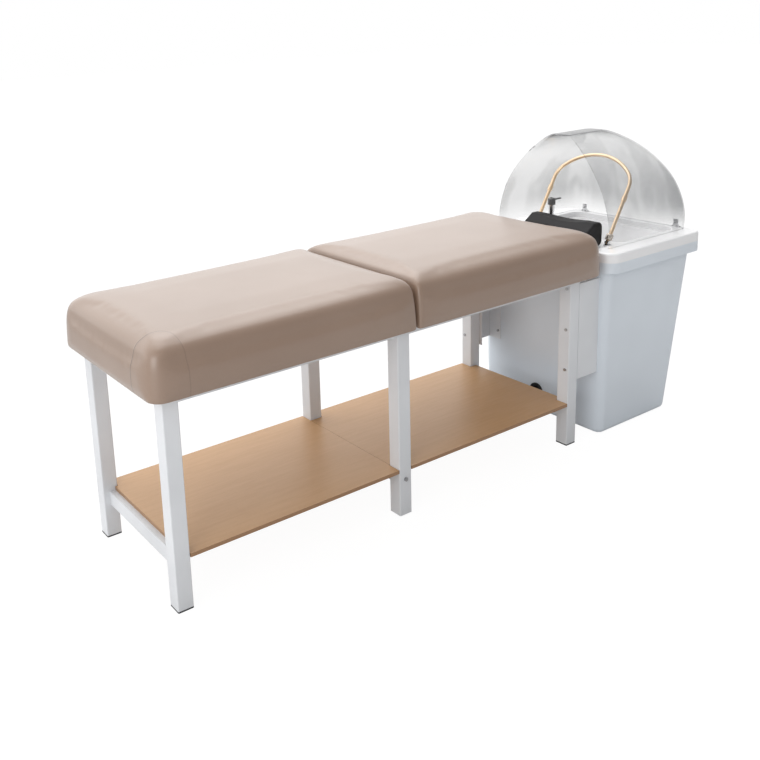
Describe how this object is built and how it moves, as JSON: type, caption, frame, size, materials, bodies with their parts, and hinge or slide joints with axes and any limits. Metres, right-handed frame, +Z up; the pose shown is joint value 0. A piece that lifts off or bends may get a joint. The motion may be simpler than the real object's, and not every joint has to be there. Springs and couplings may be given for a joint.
{
  "type": "hair washing bed",
  "caption": "Salon hair washing bed: padded lying surface on a steel frame with shelves, joined to a wash tub with basin, neck rest, water arch, tap and a clear tilting hood.",
  "frame": {"origin": "on the floor under the middle of the whole bed", "axes": "+X from the foot end to the tub, +Z up, -Y the near side in the picture"},
  "size_m": [2.4, 0.658, 1.1223],
  "materials": {
    "powder_coat": "satin",
    "foot_plastic": "matt",
    "shelf_board": "satin",
    "plywood": "raw",
    "cushion_leather": "soft semi-matt",
    "steel_fastener": "plated",
    "tub_plastic": "satin",
    "basin_plastic": "gloss",
    "chrome_trim": "polished",
    "drain_plastic": "matt",
    "waste_plastic": "satin",
    "grommet_rubber": "matt",
    "strainer_steel": "brushed",
    "neck_rubber": "soft matt",
    "arch_gold": "satin",
    "arch_nut_metal": "knurled",
    "tap_black": "satin",
    "clear_hood": "clear gloss"
  },
  "bodies": {
    "bed": {"arch_base_far": "chrome_trim", "arch_base_near": "chrome_trim", "arch_pin_far": "chrome_trim", "arch_pin_near": "chrome_trim", "basin": "basin_plastic", "board_screws": "steel_fastener", "cushion_board_foot": "plywood", "cushion_board_head": "plywood", "cushion_foot": "cushion_leather", "cushion_head": "cushion_leather", "drain_nut": "drain_plastic", "drain_tail": "chrome_trim", "foot_cap_foot_far": "foot_plastic", "foot_cap_foot_near": "foot_plastic", "foot_cap_head_far": "foot_plastic", "foot_cap_head_near": "foot_plastic", "grommet": "grommet_rubber", "hinge_base_far": "chrome_trim", "hinge_base_near": "chrome_trim", "hinge_base_screws": "steel_fastener", "hinge_pin_far": "chrome_trim", "hinge_pin_near": "chrome_trim", "leg_channel_bolts": "steel_fastener", "leg_foot_far": "powder_coat", "leg_foot_near": "powder_coat", "leg_head_far": "powder_coat", "leg_head_near": "powder_coat", "leg_mid_far": "powder_coat", "leg_mid_near": "powder_coat", "lower_bar_foot": "powder_coat", "lower_bar_head": "powder_coat", "lower_bar_mid": "powder_coat", "mid_leg_bolts": "steel_fastener", "shelf_foot": "shelf_board", "shelf_head": "shelf_board", "tap_column": "chrome_trim", "top_frame": "powder_coat", "tub": "tub_plastic", "tub_channel_bolts": "steel_fastener", "tub_channel_far": "powder_coat", "tub_channel_near": "powder_coat", "waste_pipe": "waste_plastic"},
    "hood": {"hood": "clear_hood", "hinge_leaf_near": "chrome_trim", "hinge_leaf_far": "chrome_trim", "hinge_leaf_screws": "steel_fastener"},
    "arch": {"spray_tube": "arch_gold", "arch_rod_near": "arch_gold", "arch_rod_far": "arch_gold", "arch_nut_near": "arch_nut_metal", "arch_nut_far": "arch_nut_metal", "arch_union_near": "arch_gold", "arch_union_far": "arch_gold"},
    "tap_dome": {"tap_dome": "tap_black", "tap_lever_pin": "chrome_trim"},
    "tap_lever": {"tap_lever": "tap_black"},
    "neck_rest": {"neck_rest": "neck_rubber"},
    "hair_strainer": {"hair_strainer": "strainer_steel"}
  },
  "joints": [
    {"name": "hood_hinge", "type": "hinge", "parent": "bed", "child": "hood", "pos_m": [1.1863, 0, 0.7285], "axis": [0, 1, 0], "range_deg": [0, 90]},
    {"name": "arch_swing", "type": "hinge", "parent": "bed", "child": "arch", "pos_m": [0.81204, 0, 0.714], "axis": [0, 1, 0], "range_deg": [-30, 15]},
    {"name": "tap_turn", "type": "hinge", "parent": "bed", "child": "tap_dome", "pos_m": [0.84304, 0.11798, 0.816], "axis": [0, 0, 1], "range_deg": [-40, 40]},
    {"name": "tap_lever_tilt", "type": "hinge", "parent": "tap_dome", "child": "tap_lever", "pos_m": [0.84304, 0.11798, 0.8354], "axis": [0, -1, 0], "range_deg": [0, 25]},
    {"name": "neck_rest_lift", "type": "slide", "parent": "bed", "child": "neck_rest", "axis": [0, 0, 1], "range_m": [0, 0.12]},
    {"name": "strainer_lift", "type": "slide", "parent": "bed", "child": "hair_strainer", "axis": [0, 0, 1], "range_m": [0, 0.08]}
  ]
}
